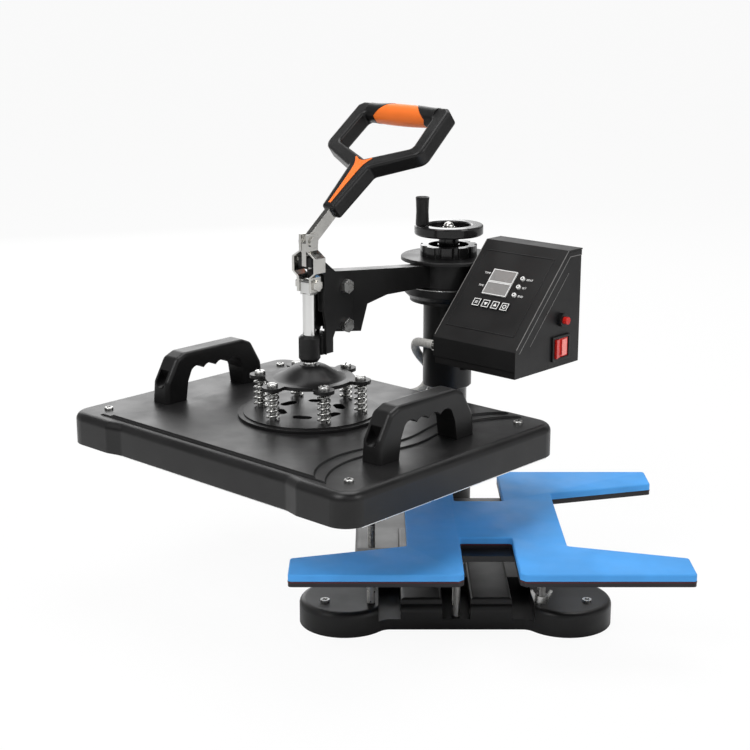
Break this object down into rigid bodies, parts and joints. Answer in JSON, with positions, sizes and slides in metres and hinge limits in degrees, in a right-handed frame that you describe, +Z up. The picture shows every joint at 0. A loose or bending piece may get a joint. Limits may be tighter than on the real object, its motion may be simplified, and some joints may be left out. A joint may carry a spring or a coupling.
{
  "type": "shoe heat press",
  "caption": "Swing-away heat press on a round column, with a sprung heating platen, toggle lever, control box and an H-shaped padded board below.",
  "frame": {"origin": "centre of the base's footprint, on the plane that it stands on", "axes": "+Z up, -Y to the side where the user stands, +X to the user's right"},
  "size_m": [0.6071, 0.4794, 0.4956],
  "materials": {
    "black_paint": "satin black paint",
    "black_steel": "semi-gloss black",
    "zinc": "zinc plated",
    "nickel": "bright nickel plate",
    "bronze": "machined",
    "rubber": "matt",
    "board": "satin",
    "blue_silicone": "matt silicone",
    "black_plastic": "moulded",
    "orange_grip": "soft grip",
    "aluminium_plate": "machined",
    "display": "clear over grey",
    "lamp": "gloss",
    "key": "moulded",
    "red_switch": "gloss",
    "circuit": "board green",
    "sleeve": "woven glass sleeve",
    "blanket": "felt"
  },
  "bodies": {
    "base": {"base_shell": "black_paint", "foot_pads": "rubber", "foot_screws": "zinc", "column_socket": "black_paint", "socket_bolts": "zinc", "column_post": "black_steel", "lift_nut": "bronze", "board_carriers": "black_paint", "lower_board": "board", "silicone_pad": "blue_silicone", "platen_studs": "zinc"},
    "wing_nut_body": {"wing_nut": "zinc"},
    "lift": {"thrust_collar": "bronze"},
    "wheel": {"lift_spindle": "zinc", "handwheel": "black_steel", "dome_nut": "nickel", "knob_pin": "zinc"},
    "knob": {"crank_knob": "black_plastic"},
    "lock": {"lock_ring": "black_steel"},
    "arm": {"arm_sleeve": "black_paint", "arm_hub": "black_paint", "arm_beam": "black_paint", "clamp_plates": "black_paint", "clamp_bolts": "zinc", "plunger_guide": "black_paint", "box_bracket": "black_paint", "box_body": "black_paint", "box_cover": "black_paint", "display_windows": "display", "indicator_lights": "lamp", "control_board": "circuit", "rocker_bezel": "black_plastic", "reset_holder": "black_plastic", "lead_gland": "nickel", "heater_lead": "sleeve"},
    "lever": {"lever_bar": "nickel", "lever_pivot": "nickel", "lever_frame": "black_plastic", "lever_grip": "orange_grip"},
    "links": {"link_plates": "nickel", "link_pins": "nickel"},
    "plunger": {"plunger_rod": "nickel", "spider_plate": "black_paint"},
    "heater": {"round_plate": "black_paint", "spring_screws": "zinc", "platen_springs": "zinc", "heater_cover": "black_paint", "cover_screws": "zinc", "lead_grommet": "rubber", "heating_platen": "aluminium_plate", "heating_element": "zinc", "insulation_pad": "blanket", "press_handles": "black_plastic"},
    "rocker": {"rocker_switch": "red_switch"},
    "reset": {"reset_button": "red_switch"},
    "key_1": {"panel_key_1": "key"},
    "key_2": {"panel_key_2": "key"},
    "key_3": {"panel_key_3": "key"},
    "key_4": {"panel_key_4": "key"}
  },
  "joints": [
    {"name": "arm_lift", "type": "slide", "parent": "base", "child": "lift", "axis": [0, 0, 1], "range_m": [-0.028, 0.012]},
    {"name": "head_swing", "type": "hinge", "parent": "lift", "child": "arm", "pos_m": [0, 0.111, 0], "axis": [0, 0, 1], "range_deg": [-75, 42.6]},
    {"name": "wheel_turn", "type": "hinge", "parent": "lift", "child": "wheel", "pos_m": [0, 0.111, 0.35], "axis": [0, 0, 1], "range_deg": [-2520, 1080]},
    {"name": "knob_spin", "type": "hinge", "parent": "wheel", "child": "knob", "pos_m": [-0.02917, 0.10208, 0.36], "axis": [0, 0, 1], "continuous": true},
    {"name": "lock_turn", "type": "hinge", "parent": "arm", "child": "lock", "pos_m": [0, 0.111, 0.33], "axis": [0, 0, 1], "range_deg": [-60, 60]},
    {"name": "lever_pull", "type": "hinge", "parent": "arm", "child": "lever", "pos_m": [-0.14621, -0.048, 0.3515], "axis": [0.7361, -0.6769, 0], "range_deg": [0, 180]},
    {"name": "link_swing", "type": "hinge", "parent": "lever", "child": "links", "pos_m": [-0.14621, -0.048, 0.3715], "axis": [0.7361, -0.6769, 0], "range_deg": [-180, 0]},
    {"name": "plunger_slide", "type": "slide", "parent": "arm", "child": "plunger", "axis": [0, 0, -1], "range_m": [0, 0.04], "deforming": ["heater_lead"]},
    {"name": "platen_float", "type": "slide", "parent": "plunger", "child": "heater", "axis": [0, 0, 1], "range_m": [0, 0.006], "stiffness_N_per_m": 12000, "springref_m": -0.004, "deforming": ["platen_springs"]},
    {"name": "rocker_flip", "type": "hinge", "parent": "arm", "child": "rocker", "pos_m": [0.11151, 0.00031, 0.252], "axis": [0, 0, 1], "range_deg": [-14, 0]},
    {"name": "reset_press", "type": "slide", "parent": "arm", "child": "reset", "axis": [-0.7361, 0.6769, 0], "range_m": [0, 0.002], "stiffness_N_per_m": 600, "springref_m": -0.001},
    {"name": "wing_nut_turn", "type": "hinge", "parent": "base", "child": "wing_nut_body", "pos_m": [0.0843, -0.134, 0.03], "axis": [0, 0, 1], "continuous": true},
    {"name": "key_press_1", "type": "slide", "parent": "arm", "child": "key_1", "axis": [0.4919, 0.535, -0.6869], "range_m": [0, 0.0008], "stiffness_N_per_m": 800, "springref_m": -0.0005},
    {"name": "key_press_2", "type": "slide", "parent": "arm", "child": "key_2", "axis": [0.4919, 0.535, -0.6869], "range_m": [0, 0.0008], "stiffness_N_per_m": 800, "springref_m": -0.0005},
    {"name": "key_press_3", "type": "slide", "parent": "arm", "child": "key_3", "axis": [0.4919, 0.535, -0.6869], "range_m": [0, 0.0008], "stiffness_N_per_m": 800, "springref_m": -0.0005},
    {"name": "key_press_4", "type": "slide", "parent": "arm", "child": "key_4", "axis": [0.4919, 0.535, -0.6869], "range_m": [0, 0.0008], "stiffness_N_per_m": 800, "springref_m": -0.0005}
  ],
  "couplings": [
    {"joint": "wheel_turn", "follows": "arm_lift", "rad_per_m": 1570.8},
    {"joint": "link_swing", "follows": "lever_pull", "ratio": -1},
    {"joint": "plunger_slide", "follows": "lever_pull", "m_per_rad": 0.012732}
  ]
}
